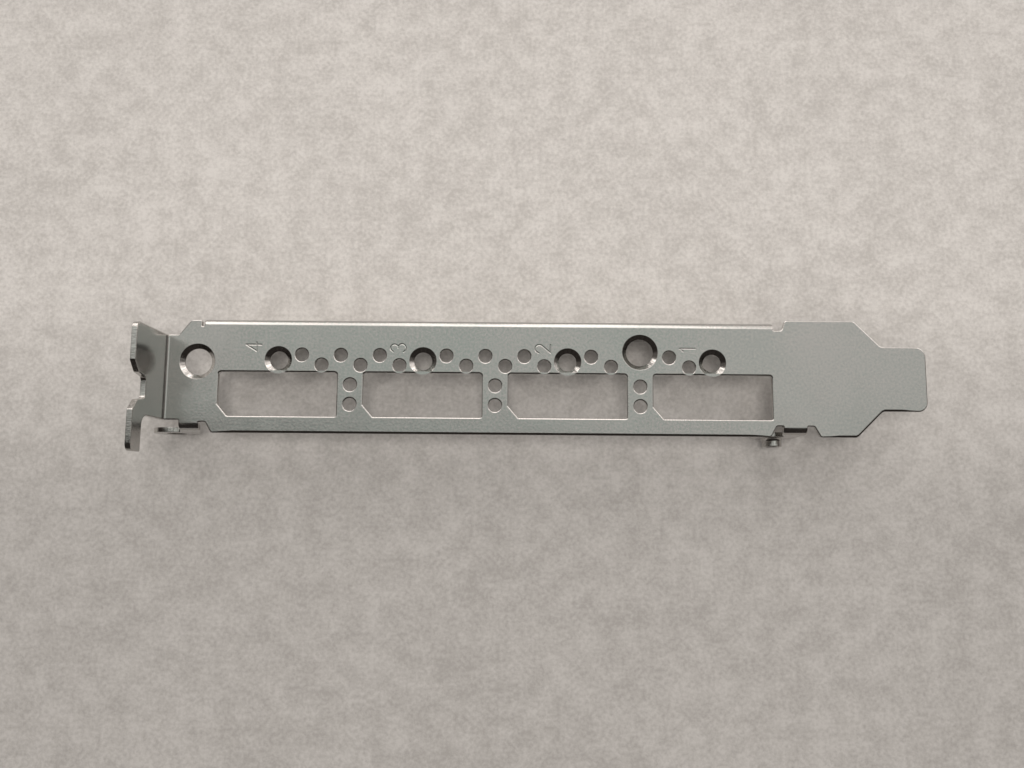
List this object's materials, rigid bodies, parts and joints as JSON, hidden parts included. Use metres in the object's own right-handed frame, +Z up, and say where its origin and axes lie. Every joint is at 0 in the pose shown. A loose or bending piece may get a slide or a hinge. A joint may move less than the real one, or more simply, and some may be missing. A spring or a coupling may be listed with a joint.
{
  "type": "pci slot cover bracket",
  "caption": "Full-height slot bracket folded from one steel sheet, with connector openings, vent holes, a slotted fixing tab, a long flange and two board tabs.",
  "frame": {"origin": "middle of the bracket's footprint, on the surface that it lies on", "axes": "+X along the plate towards the tongue, +Y across the plate towards the flange, +Z up, out of the plate's outside face"},
  "size_m": [0.124, 0.0218, 0.0241],
  "materials": {
    "nickel_sheet": "dull nickel plating on rolled steel sheet, satin, with bright rolled-over punched edges"
  },
  "bodies": {
    "root": {"bracket": "nickel_sheet"}
  },
  "joints": []
}
